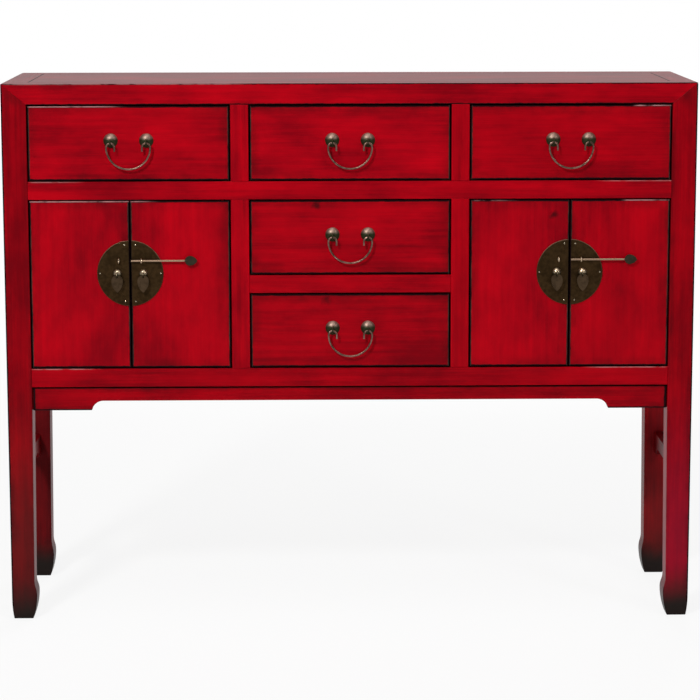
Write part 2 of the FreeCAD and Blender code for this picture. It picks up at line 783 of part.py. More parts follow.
front_inside = front + size("drawer_front_thickness")
tray_end = panel_face - size("tray_back_room")
for name, (column, floor) in drawers.items():
    middle = bay_step * column
    board_half = bay / 2 - reveal
    board_z = (floor + reveal, floor + size("drawer_opening") - reveal)
    tray_z = (floor + size("running_play"), floor + size("running_play") + size("tray_height"))
    bottom_low = tray_z[0] + size("tray_bottom_rise")
    bottom_z = (bottom_low, bottom_low + size("tray_bottom"))
    groove_z = (bottom_z[0] - fit, bottom_z[1] + fit)
    wall = size("tray_wall")
    inside_half = board_half - wall
    inside_x = (middle - inside_half, middle + inside_half)
    lap_y = front + size("lap_depth")
    groove = size("tray_groove")
    pull_z = floor + size("drawer_opening") / 2 + size("pull_rise")
    eye_z = pull_z - size("eye_drop")
    post_places = {side: middle + size("pull_spacing") / 2 * side for side in side_names}

    tray = []
    front_cutters = [
        block(f"{name}_front_groove", inside_x, (front_inside - groove, front_inside), groove_z)
    ]
    groove_x = (inside_x[0] - groove, inside_x[1] + groove)
    tray_groove = block(f"{name}_tray_groove", groove_x, (front, tray_end), groove_z)
    for side, side_name in side_names.items():
        wall_x = span(middle, side, inside_half, wall)
        front_cutters.append(block(f"{name}_{side_name}_lap", wall_x, (lap_y, front_inside), tray_z))
        tray_side = block(f"{name}_{side_name}_wall", wall_x, (lap_y, tray_end), tray_z)
        tray.append(carved(f"{name}_{side_name}_side", tray_side, [tray_groove]))
        hole_name = f"{name}_{side_name}_hole"
        front_cutters.append(shank_hole(hole_name, post_places[side], eye_z, front, front_inside))
    tray.append(block(f"{name}_back", inside_x, (tray_end - wall, tray_end), (bottom_z[1], tray_z[1])))
    bottom_x = (groove_x[0] + relief, groove_x[1] - relief)
    bottom_y = (front_inside - groove + relief, tray_end)
    tray.append(block(f"{name}_bottom", bottom_x, bottom_y, bottom_z))
    board_x = (middle - board_half, middle + board_half)
    board = block(f"{name}_board", board_x, (front, front_inside), board_z)
    finished(f"drawer_{name}_front", carved(f"{name}_front_cut", board, front_cutters))
    finished(f"drawer_{name}_tray", grouped(f"{name}_tray_set", tray))

    posts = []
    for side, side_name in side_names.items():
        label = f"{name}_{side_name}_boss"
        x = post_places[side]
        eye_centre = (x, front - size("pull_stand"), eye_z)
        boss = dome(f"{label}_dome", size("boss_radius"), size("boss_height"), (x, front, pull_z))
        eye_pieces = riveted_eye(label, eye_centre, size("pull_eye"), size("eye_wire"), front_inside)
        posts.append(fused(label, [boss] + eye_pieces))
    finished(f"drawer_{name}_bosses", grouped(f"{name}_boss_pair", posts))
    hang = size("pull_eye") - size("eye_wire") - size("bail_wire") - size("bail_play")
    bail_start = (middle, front - size("pull_stand"), eye_z - hang)
    finished(f"drawer_{name}_bail", bail(f"{name}_bail_wire", bail_start))

# Doors on pivots, each with half a lock plate and a leaf-shaped drop; the right leaf of a pair has the bolt


def leaf_corners(rim, belly, tip, half_width, hanging):
    """A leaf, round at its rim and pointed at its tip; hanging down or lying along X."""
    crown = tangent_radius(belly - rim, half_width)
    flank = tangent_radius(half_width, tip - belly)
    corners = [(rim, 0, crown), (belly, -half_width, crown), (tip, 0, flank), (belly, half_width, flank)]
    if hanging:
        return [(across, -measured(along), radius, 1) for along, across, radius in corners]
    return [(along, across, radius, 1) for along, across, radius in corners]


door_back = front + size("door_thickness")
plate_face = front - size("plate_thickness")
lock_z = (base_top + mid_low) / 2 + size("lock_rise")
bolt_z = lock_z + size("bolt_rise")
bolt_y = plate_face - size("bolt_eye_gap") - size("eye_wire") - size("bolt_eye")
drop_y = plate_face - size("drop_stand")
drop_z = lock_z - size("drop_eye_fall")
for (bay_side, leaf_side), name in leaf_names.items():
    seam = bay_step * bay_side
    boss_x = seam + size("lock_boss_spacing") / 2 * leaf_side
    eye_x = seam + size("bolt_eye_spacing") / 2 * leaf_side

    door_x = span(seam, leaf_side, reveal / 2, bay / 2 - reveal * 1.5)
    slab = block(f"{name}_slab", door_x, (front, door_back), (base_top + reveal, mid_low - reveal))
    pivot_low = base_top - size("pivot_length")
    pivot_reach = mid_low + size("pivot_length") - pivot_low
    pivot_start = (pivot_x[name], pivot_y, pivot_low)
    pivot = rod(f"{name}_pivot", size("pivot_radius"), pivot_reach, pivot_start, upright)
    holes = [
        shank_hole(f"{name}_boss_hole", boss_x, drop_z, plate_face, door_back),
        shank_hole(f"{name}_eye_hole", eye_x, bolt_z, plate_face, door_back),
    ]
    leaf_board = fused(f"{name}_leaf", [slab, pivot])
    finished(f"door_{name}", carved(f"{name}_leaf_cut", leaf_board, holes))

    plate_start = (seam, plate_face, lock_z)
    disc = rod(f"{name}_disc", size("plate_radius"), size("plate_thickness"), plate_start, along_y)
    plate_x = span(seam, leaf_side, reveal / 2 + size("plate_edge"), size("plate_radius"))
    plate_z = (lock_z - size("plate_radius"), lock_z + size("plate_radius"))
    half_field = block(f"{name}_half", plate_x, (plate_face, front), plate_z)
    plate = carved(f"{name}_plate", shared(f"{name}_half_disc", disc, half_field), holes)
    boss_start = (boss_x, plate_face, lock_z)
    boss = dome(f"{name}_dome", size("lock_boss_radius"), size("lock_boss_height"), boss_start)
    drop_eye = (boss_x, drop_y, drop_z)
    drop_ring = riveted_eye(f"{name}_drop", drop_eye, size("drop_eye"), size("drop_eye_wire"), door_back)
    bolt_eye = (eye_x, bolt_y, bolt_z)
    bolt_ring = riveted_eye(f"{name}_bolt", bolt_eye, size("bolt_eye"), size("eye_wire"), door_back)
    plate_set = [plate, fused(f"{name}_boss", [boss] + drop_ring), fused(f"{name}_keeper", bolt_ring)]
    finished(f"lock_plate_{name}", grouped(f"{name}_plate_set", plate_set))

    rim = size("drop_eye") - size("drop_hole") - size("drop_rim")
    drop_outline = leaf_corners(
        rim, size("drop_shoulder"), size("drop_length"), size("drop_half_width"), hanging=True
    )
    thick = size("drop_thickness")
    drop_start = (boss_x, drop_y - thick / 2, drop_z)
    drop_blank = padded(f"{name}_drop_leaf", "XZ_Plane", drop_outline, thick, drop_start, True)
    hole_start = (boss_x, drop_y - thick, drop_z - size("drop_eye"))
    drop_hole = rod(f"{name}_drop_hole", size("drop_hole"), thick * 2, hole_start, along_y)
    finished(f"drop_{name}", carved(f"{name}_drop_cut", drop_blank, [drop_hole]))

# Bolts, drawn back to the right so that both leaves are free

for bay_side, bay_name in bays.items():
    tip_x = bay_step * bay_side + size("bolt_clear")
    stem = rod(f"{bay_name}_stem", size("bolt_radius"), size("bolt_length"), (tip_x, bolt_y, bolt_z), along_x)
    grip_outline = leaf_corners(
        0, size("grip_belly"), size("grip_length"), size("grip_half_height"), hanging=False
    )
    grip_x = tip_x + size("bolt_length") - size("bolt_radius") * 2
    grip_start = (grip_x, bolt_y - size("grip_thickness") / 2, bolt_z)
    grip = padded(f"{bay_name}_grip", "XZ_Plane", grip_outline, size("grip_thickness"), grip_start, True)
    finished(f"bolt_{bay_name}", fused(f"{bay_name}_bolt", [stem, grip]))

# Check every object, then write each sub-part's solids

document.recompute()
for item in document.Objects:
    if "Invalid" in item.State or "Error" in item.State:
        raise RuntimeError(f"{item.Label} failed to build: {item.State}")
for piece in sub_parts:
    if piece.Shape.isNull() or not piece.Shape.isValid() or not piece.Shape.Solids:
        raise RuntimeError(f"{piece.Label} has no valid solid")

os.makedirs("parts", exist_ok=True)
for piece in sub_parts:
    piece.Shape.exportStep(f"parts/{piece.Label}.step")
    print(piece.Label, len(piece.Shape.Solids), round(piece.Shape.Volume))
print(len(sub_parts), "sub-parts")
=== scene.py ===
import bmesh
import bpy
import math
from mathutils import Matrix, Vector


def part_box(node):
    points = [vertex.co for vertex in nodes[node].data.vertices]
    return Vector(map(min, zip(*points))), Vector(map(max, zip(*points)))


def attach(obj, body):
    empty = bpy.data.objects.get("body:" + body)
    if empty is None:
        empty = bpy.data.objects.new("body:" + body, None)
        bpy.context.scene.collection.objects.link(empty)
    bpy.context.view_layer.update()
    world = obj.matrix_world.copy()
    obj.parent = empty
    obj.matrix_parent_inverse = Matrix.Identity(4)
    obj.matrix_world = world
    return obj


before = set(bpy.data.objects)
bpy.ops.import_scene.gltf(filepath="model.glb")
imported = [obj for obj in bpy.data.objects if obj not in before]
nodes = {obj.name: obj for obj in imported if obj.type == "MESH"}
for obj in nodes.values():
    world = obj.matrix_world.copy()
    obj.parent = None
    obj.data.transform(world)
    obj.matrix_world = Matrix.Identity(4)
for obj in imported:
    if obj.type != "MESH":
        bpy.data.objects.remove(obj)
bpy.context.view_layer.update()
print("frame loaded:", len(nodes), "nodes")

drawerNames = ["left", "middle", "right", "upper_centre", "lower_centre"]
leafNames = ["left_outer", "left_inner", "right_inner", "right_outer"]
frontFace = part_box("mid_rail")[0].y  # plane of the drawers, doors and frame
farAway = 9.0  # metres, beyond every side of the table
thinnest = 0.00001  # metres, the width of an edge effect that is off
grainAlong = {  # streaks per metre along X, Y and Z
    "x": (5.0, 150.0, 150.0),
    "y": (150.0, 5.0, 150.0),
    "z": (150.0, 150.0, 5.0),
}


# small helpers for node trees
def feed(tree, socket, value):
    if isinstance(value, bpy.types.NodeSocket):
        tree.links.new(value, socket)
    elif value is not None:
        socket.default_value = value


def calc(tree, operation, first, second=None, third=None, clamp=False):
    node = tree.nodes.new("ShaderNodeMath")
    node.operation = operation
    node.use_clamp = clamp
    for socket, value in zip(node.inputs, (first, second, third)):
        feed(tree, socket, value)
    return node.outputs[0]


def vectorCalc(tree, operation, first, second, third=None):
    node = tree.nodes.new("ShaderNodeVectorMath")
    node.operation = operation
    for socket, value in zip(node.inputs, (first, second, third)):
        feed(tree, socket, value)
    return node.outputs["Value"] if operation in ("DISTANCE", "DOT_PRODUCT") else node.outputs["Vector"]


def product(tree, first, *others):
    for other in others:
        first = calc(tree, "MULTIPLY", first, other)
    return first


def split(tree, vector):
    node = tree.nodes.new("ShaderNodeSeparateXYZ")
    feed(tree, node.inputs[0], vector)
    return node.outputs


def blendColour(tree, amount, first, second):
    node = tree.nodes.new("ShaderNodeMix")
    node.data_type = "RGBA"
    feed(tree, node.inputs[0], amount)
    feed(tree, node.inputs[6], first)  # 6, 7 and 2 are the colour sockets
    feed(tree, node.inputs[7], second)
    return node.outputs[2]


def ramp(tree, value, low, high, toLow=0.0, toHigh=1.0):
    node = tree.nodes.new("ShaderNodeMapRange")
    node.interpolation_type = "SMOOTHSTEP"
    for socket, number in zip(node.inputs, (value, low, high, toLow, toHigh)):
        feed(tree, socket, number)
    return node.outputs[0]


def fade(tree, value, low, high):
    return ramp(tree, value, low, high, 1.0, 0.0)


def noise(tree, place, grain):  # grain is a scale, a detail and a roughness
    node = tree.nodes.new("ShaderNodeTexNoise")
    feed(tree, node.inputs["Vector"], place)
    for socketName, value in zip(("Scale", "Detail", "Roughness"), grain):
        node.inputs[socketName].default_value = value
    return node.outputs["Fac"]


def swing(tree, value, reach):  # a noise moved so that it swings about zero
    return calc(tree, "MULTIPLY_ADD", value, reach, -reach / 2)


def newGroup(name, inputs, outputs, kind="ShaderNodeTree"):
    tree = bpy.data.node_groups.new(name, kind)
    for way, sockets in (("INPUT", inputs), ("OUTPUT", outputs)):
        for socketKind, socketNames in sockets.items():
            for socketName in socketNames:
                tree.interface.new_socket(socketName, in_out=way, socket_type="NodeSocket" + socketKind)
    return tree, tree.nodes.new("NodeGroupInput").outputs, tree.nodes.new("NodeGroupOutput").inputs


finishOutputs = {"Color": ["Color"], "Float": ["Roughness", "Height"]}

edgeRag = {"grain": (130.0, 5.0, 0.7), "width": 0.0032}


# distance to the nearest edge of a board's own box, ragged
def makeEdgeGroup():
    tree, into, out = newGroup(
        "boardEdges",
        {"Vector": ["Place", "Low", "High"]},
        {"Float": ["Distance", "Top Distance", "Upright Distance"]},
    )
    fromLow = split(tree, vectorCalc(tree, "SUBTRACT", into["Place"], into["Low"]))
    fromHigh = split(tree, vectorCalc(tree, "SUBTRACT", into["High"], into["Place"]))
    x, y, z = (calc(tree, "MINIMUM", a, b) for a, b in zip(fromLow, fromHigh))
    lesser = calc(tree, "MINIMUM", x, y)
    greater = calc(tree, "MAXIMUM", x, y)
    middle = calc(tree, "MAXIMUM", lesser, calc(tree, "MINIMUM", greater, z))  # second nearest face
    wander = swing(tree, noise(tree, into["Place"], edgeRag["grain"]), edgeRag["width"])
    feed(tree, out["Distance"], calc(tree, "ADD", middle, wander))
    feed(tree, out["Top Distance"], calc(tree, "MAXIMUM", middle, fromHigh[2]))
    feed(tree, out["Upright Distance"], calc(tree, "MAXIMUM", middle, x))
    return tree


lacquerPattern = {
    "colours": {
        # black of the antiquing and of the painted shade in the openings, and a dark red deeper in, also painted
        # shade
        "black": (0.006, 0.002, 0.003, 1),
        "inner": (0.085, 0.006, 0.006, 1),
        # painted shade on upper faces, and below the apron's gap
        "upper": (0.07, 0.0006, 0.003, 1),
        "foot": (0.016, 0.0115, 0.01, 1),
        # painted highlight on the upper arris
        "paintedHighlight": (0.42, 0.2, 0.2, 1),
        "greyRub": (0.07, 0.05, 0.04, 1),
    },
    "noises": {  # scale, detail, roughness
        "streak": (1.0, 6.0, 0.62),
        "fine": (5.5, 3.0, 0.6),
        "cloud": (1.0, 5.0, 0.6),
        "blotch": (0.34, 2.0, 0.5),
        "smudge": (22.0, 5.0, 0.6),
        "ring": (75.0, 3.0, 0.6),
        "highlight": (55.0, 3.0, 0.6),
        "sideWear": (30.0, 4.0, 0.6),
    },
    "reaches": {  # how far a noise swings the tone, or in metres a border
        "streak": 1.7,
        "fine": 0.7,
        "cloud": 2.2,
        "blotch": 2.6,
        "ring": 0.022,
        "foot": 0.025,
        "inner": 0.006,
    },
    "ranges": {  # where an effect begins and ends, in metres or as shares of a noise
        "smudge": (0.3, 0.75),
        # depths behind a face over which the painted shade of an opening sets in
        "insideShade": (0.0, 0.0015),
        "inner": (0.004, 0.009),
        # heights over which the painted sheen of the lower legs fades out
        "paintedSheen": (0.1, 0.38),
        "highlightStart": (-0.004, 0.006),
        "highlightEnd": (-0.04, 0.01),
        "highlightAgain": (-0.02, 0.02),
        "highlight": (0.3, 0.55),
        "arris": (0.0011, 0.0018),
        "uprightStart": (0.0006, 0.0012),
        "uprightEnd": (0.0016, 0.0026),
        "sideWear": (0.35, 0.6),
    },
    "driftScale": (9.0, 9.0, 9.0),
    "driftAlong": (0.07, 0.07, 0.07),  # share of the grain's stretch in clouds and blotches
    "toneMiddle": 0.5,
    "lineCore": 0.45,  # share of a black line that is fully black
    "shadeAboveEdge": 0.0006,
    "shadeAboveShare": 0.6,
    "gloss": 0.26,
    "fineGloss": 0.16,
    "shadeGloss": 0.1,
    "fineRelief": 0.4,
}


# red lacquer rubbed back along the grain, with black left at the edges that also paints the shade of the gaps wider;
# painted shade in the openings and on upper faces, a painted highlight along the upper arris, and a painted sheen low
# down
def makeLacquerGroup(edgeGroup):
    tree, into, out = newGroup(
        "rubbedLacquer",
        {
            "Vector": ["Place", "Grain", "Seed", "Low", "High", "Knot"],
            "Color": ["Bright", "Deep", "Painted Sheen Color"],
            "Float": ["Streaks", "Blotch", "Line", "Highlight", "Highlight Start", "Highlight End", "Highlight Again", "Side Wear", "Smudge",
                      "Smudge Amount", "Inside Shade", "Inside Shade Low", "Shade Above", "Foot", "Foot Fade", "Painted Sheen", "Knot Size",
                      "Knot Amount"],
        },
        finishOutputs,
    )
    look = lacquerPattern
    colours, noises, reaches, ranges = (look[key] for key in ("colours", "noises", "reaches", "ranges"))
    place = vectorCalc(tree, "ADD", into["Place"], into["Seed"])
    along = vectorCalc(tree, "MULTIPLY", place, into["Grain"])
    streak = noise(tree, along, noises["streak"])
    fine = noise(tree, along, noises["fine"])
    drift = vectorCalc(tree, "MULTIPLY", along, look["driftAlong"])
    drift = vectorCalc(tree, "MULTIPLY_ADD", place, look["driftScale"], drift)
    cloud = noise(tree, drift, noises["cloud"])
    blotch = noise(tree, drift, noises["blotch"])
    grainy = calc(tree, "ADD", swing(tree, streak, reaches["streak"]), swing(tree, fine, reaches["fine"]))
    tone = calc(tree, "MULTIPLY_ADD", grainy, into["Streaks"], look["toneMiddle"])
    tone = calc(tree, "ADD", tone, swing(tree, cloud, reaches["cloud"]))
    tone = calc(tree, "MULTIPLY_ADD", swing(tree, blotch, reaches["blotch"]), into["Blotch"], tone, clamp=True)
    colour = blendColour(tree, tone, into["Deep"], into["Bright"])

    # black smudges and lines along the edges, and knots; the black lines are antiquing that also paints the shade of
    # the gaps wider
    edges = tree.nodes.new("ShaderNodeGroup")
    edges.node_tree = edgeGroup
    for name in ("Place", "Low", "High"):
        feed(tree, edges.inputs[name], into[name])
    edge = edges.outputs["Distance"]
    blot = ramp(tree, noise(tree, place, noises["smudge"]), *ranges["smudge"])
    smudge = product(tree, fade(tree, edge, 0.0, into["Smudge"]), blot, into["Smudge Amount"])
    line = fade(tree, edge, calc(tree, "MULTIPLY", into["Line"], look["lineCore"]), into["Line"])
    knotGap = vectorCalc(tree, "DISTANCE", into["Place"], into["Knot"])
    knotGap = calc(tree, "ADD", knotGap, swing(tree, noise(tree, place, noises["ring"]), reaches["ring"]))
    knot = product(tree, fade(tree, knotGap, 0.0, into["Knot Size"]), into["Knot Amount"])

    # painted shade: deeper red on upper faces; a painted sheen and dark feet below; painted shade, black to dark red,
    # in the openings
    x, y, z = split(tree, into["Place"])
    shadeAboveEnd = calc(tree, "ADD", into["Shade Above"], look["shadeAboveEdge"])
    upper = ramp(tree, z, into["Shade Above"], shadeAboveEnd, 0.0, look["shadeAboveShare"])
    colour = blendColour(tree, upper, colour, colours["upper"])
    height = calc(tree, "ADD", z, swing(tree, cloud, reaches["foot"]))
    paintedSheen = product(tree, fade(tree, height, *ranges["paintedSheen"]), into["Painted Sheen"])
    colour = blendColour(tree, paintedSheen, colour, into["Painted Sheen Color"])
    footEnd = calc(tree, "ADD", into["Foot"], into["Foot Fade"])
    colour = blendColour(tree, fade(tree, height, into["Foot"], footEnd), colour, colours["foot"])
    depth = calc(tree, "SUBTRACT", y, into["Inside Shade"])
    insideShade = ramp(tree, depth, *ranges["insideShade"])
    insideShade = product(tree, insideShade, calc(tree, "GREATER_THAN", z, into["Inside Shade Low"]))
    shade = calc(tree, "MAXIMUM", smudge, calc(tree, "MAXIMUM", line, knot))
    shade = calc(tree, "MAXIMUM", shade, insideShade, clamp=True)
    deeper = ramp(tree, calc(tree, "ADD", depth, swing(tree, cloud, reaches["inner"])), *ranges["inner"])
    colour = blendColour(tree, shade, colour, blendColour(tree, deeper, colours["black"], colours["inner"]))

    # painted highlight, pale, along the upper arris between two places and past a third; grey wear on the upright
    # ones
    outside = calc(tree, "SUBTRACT", 1.0, insideShade)
    began = ramp(tree, calc(tree, "SUBTRACT", x, into["Highlight Start"]), *ranges["highlightStart"])
    ended = fade(tree, calc(tree, "SUBTRACT", x, into["Highlight End"]), *ranges["highlightEnd"])
    again = ramp(tree, calc(tree, "SUBTRACT", x, into["Highlight Again"]), *ranges["highlightAgain"])
    highlightSpan = calc(tree, "MAXIMUM", product(tree, began, ended), again)
    broken = ramp(tree, noise(tree, place, noises["highlight"]), *ranges["highlight"])
    arris = fade(tree, edges.outputs["Top Distance"], *ranges["arris"])
    arris = product(tree, arris, outside, highlightSpan, broken, into["Highlight"])
    sideEdge = edges.outputs["Upright Distance"]
    upright = fade(tree, sideEdge, *ranges["uprightEnd"])
    upright = product(tree, upright, ramp(tree, sideEdge, *ranges["uprightStart"]), outside, into["Side Wear"])
    patchy = ramp(tree, noise(tree, place, noises["sideWear"]), *ranges["sideWear"])
    colour = blendColour(tree, product(tree, upright, patchy), colour, colours["greyRub"])
    feed(tree, out["Color"], blendColour(tree, arris, colour, colours["paintedHighlight"]))
    gloss = calc(tree, "MULTIPLY_ADD", fine, look["fineGloss"], look["gloss"])
    feed(tree, out["Roughness"], calc(tree, "MULTIPLY_ADD", shade, look["shadeGloss"], gloss))
    feed(tree, out["Height"], calc(tree, "MULTIPLY_ADD", fine, look["fineRelief"], streak))
    return tree


bronzePattern = {
    "grain": (180.0, 5.0, 0.65),
    "broad": (45.0, 3.0, 0.5),
    "share": 0.5,  # of each of the two noises in the cover of the skin
    "coverEdge": 0.14,
    "coverRough": 0.2,
    # painted highlight on the upper rims
    "rimHighlightColour": (0.26, 0.15, 0.1, 1),
    "rimReach": 0.002,
    "rimRange": (-0.0011, -0.0003),
    "rimAbove": (0.0, 0.04, 0.1, 0.7),  # little at the middle's height, more towards the top
    # painted shade on the lower part of the knobs
    "shadeLineReach": 0.004,
    "shadeLineRange": (-0.003, 0.0035),
    "shadeLineRough": 0.15,
    "knobEdge": 0.0004,
}


# aged brass under a dark skin, with a painted highlight on the upper rims, and knobs lighter above and painted darker
# below as shade
def makeBronzeGroup():
    tree, into, out = newGroup(
        "agedBronze",
        {
            "Vector": ["Place", "Knob Axis", "Rim Centre"],
            "Color": ["Worn", "Skin", "Knob", "Knob Shade"],
            "Float": ["Cover", "Gloss", "Knob Start", "Knob Height", "Knob Gloss", "Rim Radius"],
        },
        finishOutputs,
    )
    look = bronzePattern
    grainy = noise(tree, into["Place"], look["grain"])
    broad = noise(tree, into["Place"], look["broad"])
    mixed = calc(tree, "ADD", product(tree, grainy, look["share"]), product(tree, broad, look["share"]))
    edge = calc(tree, "SUBTRACT", 1.0, into["Cover"])
    coverStart = calc(tree, "SUBTRACT", edge, look["coverEdge"])
    cover = ramp(tree, mixed, coverStart, calc(tree, "ADD", edge, look["coverEdge"]))
    skin = blendColour(tree, cover, into["Worn"], into["Skin"])
    rough = calc(tree, "MULTIPLY_ADD", cover, look["coverRough"], into["Gloss"])

    # painted highlight along the upper rim of the round plates
    toRim = vectorCalc(tree, "SUBTRACT", into["Place"], into["Rim Centre"])
    toRim = vectorCalc(tree, "MULTIPLY", toRim, (1, 0, 1))
    rim = calc(tree, "SUBTRACT", vectorCalc(tree, "DISTANCE", toRim, (0, 0, 0)), into["Rim Radius"])
    rim = ramp(tree, calc(tree, "ADD", rim, swing(tree, broad, look["rimReach"])), *look["rimRange"])
    above = ramp(tree, vectorCalc(tree, "DOT_PRODUCT", toRim, (0, 0, 1)), *look["rimAbove"])
    skin = blendColour(tree, product(tree, rim, above), skin, look["rimHighlightColour"])

    # raised knobs and eyes, painted darker below a given height as shade
    under = calc(tree, "SUBTRACT", split(tree, into["Place"])["Z"], into["Knob Height"])
    under = calc(tree, "ADD", under, swing(tree, grainy, look["shadeLineReach"]))
    under = fade(tree, under, *look["shadeLineRange"])
    knob = blendColour(tree, under, into["Knob"], into["Knob Shade"])
    along = vectorCalc(tree, "DOT_PRODUCT", into["Place"], into["Knob Axis"])
    raised = fade(tree, along, calc(tree, "SUBTRACT", into["Knob Start"], look["knobEdge"]), into["Knob Start"])
    feed(tree, out["Color"], blendColour(tree, raised, skin, knob))
    smooth = calc(tree, "MULTIPLY_ADD", under, look["shadeLineRough"], into["Knob Gloss"])
    change = product(tree, raised, calc(tree, "SUBTRACT", smooth, rough))
    feed(tree, out["Roughness"], calc(tree, "ADD", rough, change))
    feed(tree, out["Height"], grainy)
    return tree


plainPattern = {
    "streak": (1.0, 6.0, 0.65),
    "pore": (6.0, 2.0, 0.5),
    "plankShift": (40.0, 40.0, 40.0),
    "streakTone": 1.6,
    "poreTone": 0.35,
    "plankTone": 0.4,
    "toneStart": -0.7,
    "seamColour": (0.01, 0.005, 0.003, 1),
    "seamRange": (0.0004, 0.0014, 0.85, 0.0),
    "rough": 0.5,
    "poreRough": 0.2,
    "turn": tuple(x - y for x, y in zip(grainAlong["x"], grainAlong["y"])),  # from grain along Y to grain along X
}


# plain stained boards for what is hidden in the case
def makePlainGroup():
    tree, into, out = newGroup(
        "plainBoards",
        {
            "Vector": ["Place", "Grain", "Plank Axis"],
            "Color": ["Light", "Dark"],
            "Float": ["Plank Width", "Cross Start"],
        },
        finishOutputs,
    )
    look = plainPattern
    across = vectorCalc(tree, "DOT_PRODUCT", into["Place"], into["Plank Axis"])
    across = calc(tree, "DIVIDE", across, into["Plank Width"])
    plank = tree.nodes.new("ShaderNodeTexWhiteNoise")
    plank.noise_dimensions = "1D"
    feed(tree, plank.inputs["W"], calc(tree, "FLOOR", across))
    offset = vectorCalc(tree, "MULTIPLY", plank.outputs["Color"], look["plankShift"])
    cross = calc(tree, "GREATER_THAN", split(tree, into["Place"])["Y"], into["Cross Start"])
    grain = vectorCalc(tree, "MULTIPLY_ADD", cross, look["turn"], into["Grain"])
    along = vectorCalc(tree, "MULTIPLY_ADD", into["Place"], grain, offset)
    streak = noise(tree, along, look["streak"])
    pore = noise(tree, along, look["pore"])
    tone = calc(tree, "MULTIPLY_ADD", streak, look["streakTone"], look["toneStart"])
    tone = calc(tree, "MULTIPLY_ADD", pore, look["poreTone"], tone)
    tone = calc(tree, "MULTIPLY_ADD", plank.outputs["Value"], look["plankTone"], tone, clamp=True)
    colour = blendColour(tree, tone, into["Dark"], into["Light"])
    toSeam = calc(tree, "ABSOLUTE", calc(tree, "SUBTRACT", calc(tree, "FRACT", across), 0.5))
    toSeam = product(tree, calc(tree, "SUBTRACT", 0.5, toSeam), into["Plank Width"])
    seam = ramp(tree, toSeam, *look["seamRange"])
    feed(tree, out["Color"], blendColour(tree, seam, colour, look["seamColour"]))
    feed(tree, out["Roughness"], calc(tree, "MULTIPLY_ADD", pore, look["poreRough"], look["rough"]))
    feed(tree, out["Height"], calc(tree, "ADD", streak, pore))
    return tree


lacquerGroup = makeLacquerGroup(makeEdgeGroup())
bronzeGroup = makeBronzeGroup()
plainGroup = makePlainGroup()
print("finish groups made")


# a material whose colour, roughness and relief come from one group
def groupMaterial(name, group, values, relief, ior=1.5, metallic=0.0):
    material = bpy.data.materials.new(name)
    material.use_nodes = True
    tree = material.node_tree
    shader = tree.nodes["Principled BSDF"]
    coords = tree.nodes.new("ShaderNodeTexCoord")
    finish = tree.nodes.new("ShaderNodeGroup")
    finish.node_tree = group
    feed(tree, finish.inputs["Place"], coords.outputs["Object"])
    for socketName, value in values.items():
        feed(tree, finish.inputs[socketName], value)
    bump = tree.nodes.new("ShaderNodeBump")
    bump.inputs["Strength"].default_value = 1.0
    bump.inputs["Distance"].default_value = relief
    feed(tree, bump.inputs["Height"], finish.outputs["Height"])
    feed(tree, shader.inputs["Base Color"], finish.outputs["Color"])
    feed(tree, shader.inputs["Roughness"], finish.outputs["Roughness"])
    feed(tree, shader.inputs["Normal"], bump.outputs["Normal"])
    shader.inputs["Metallic"].default_value = metallic
    shader.inputs["IOR"].default_value = ior
    return material


def dress(node, material):
    nodes[node].data.materials.clear()
    nodes[node].data.materials.append(material)


# weight for easing on sharp edges longer than a limit, so that bores stay as they are
def makeLongEdgeGroup():
    geometry = {"Geometry": ["Geometry"]}
    tree, into, out = newGroup("longEdges", geometry | {"Float": ["Sharp", "Shortest"]}, geometry, "GeometryNodeTree")
    ends = tree.nodes.new("GeometryNodeInputMeshEdgeVertices").outputs
    length = vectorCalc(tree, "DISTANCE", ends["Position 1"], ends["Position 2"])
    angle = tree.nodes.new("GeometryNodeInputMeshEdgeAngle").outputs["Unsigned Angle"]
    long = calc(tree, "GREATER_THAN", length, into["Shortest"])
    weight = product(tree, long, calc(tree, "GREATER_THAN", angle, into["Sharp"]))
    store = tree.nodes.new("GeometryNodeStoreNamedAttribute")
    store.domain = "EDGE"
    store.data_type = "FLOAT"
    store.inputs["Name"].default_value = "bevel_weight_edge"
    feed(tree, store.inputs["Geometry"], into["Geometry"])
    feed(tree, store.inputs["Value"], weight)
    feed(tree, out["Geometry"], store.outputs["Geometry"])
    return tree


longEdgeGroup = makeLongEdgeGroup()
easing = {"weld": 0.00001, "flat": 0.5, "sharp": 35, "segments": 2, "weight": 100}  # metres and degrees


# eased edges on the boards
def easeEdges(node, width, sharp=easing["sharp"], shortest=0.0):
    modifiers = nodes[node].modifiers
    weld = modifiers.new("weld", "WELD")
    weld.merge_threshold = easing["weld"]
    flat = modifiers.new("flat", "DECIMATE")
    flat.decimate_type = "DISSOLVE"
    flat.angle_limit = math.radians(easing["flat"])
    if shortest:
        long = modifiers.new("long", "NODES")
        long.node_group = longEdgeGroup
        limits = {"Sharp": math.radians(sharp), "Shortest": shortest}
        for socket in longEdgeGroup.interface.items_tree:
            if socket.name in limits:
                long[socket.identifier] = limits[socket.name]
    ease = modifiers.new("ease", "BEVEL")
    ease.width = width
    ease.segments = easing["segments"]
    ease.limit_method = "WEIGHT" if shortest else "ANGLE"
    ease.angle_limit = math.radians(sharp)
    ease.use_clamp_overlap = False
    normals = modifiers.new("normals", "WEIGHTED_NORMAL")
    normals.weight = easing["weight"]


lacquer = {
    "bright": (0.42, 0.0003, 0.006),
    "deep": (0.19, 0.0002, 0.0042),
    "ior": 1.12,
    "relief": 0.00012,
    "ease": 0.0009,
    "seedStep": (0.731, 0.377, 0.519),
}
noHighlight = (0, 0, 0)  # start, end and amount of the painted highlight on the upper arris, and in some boards where it begins again
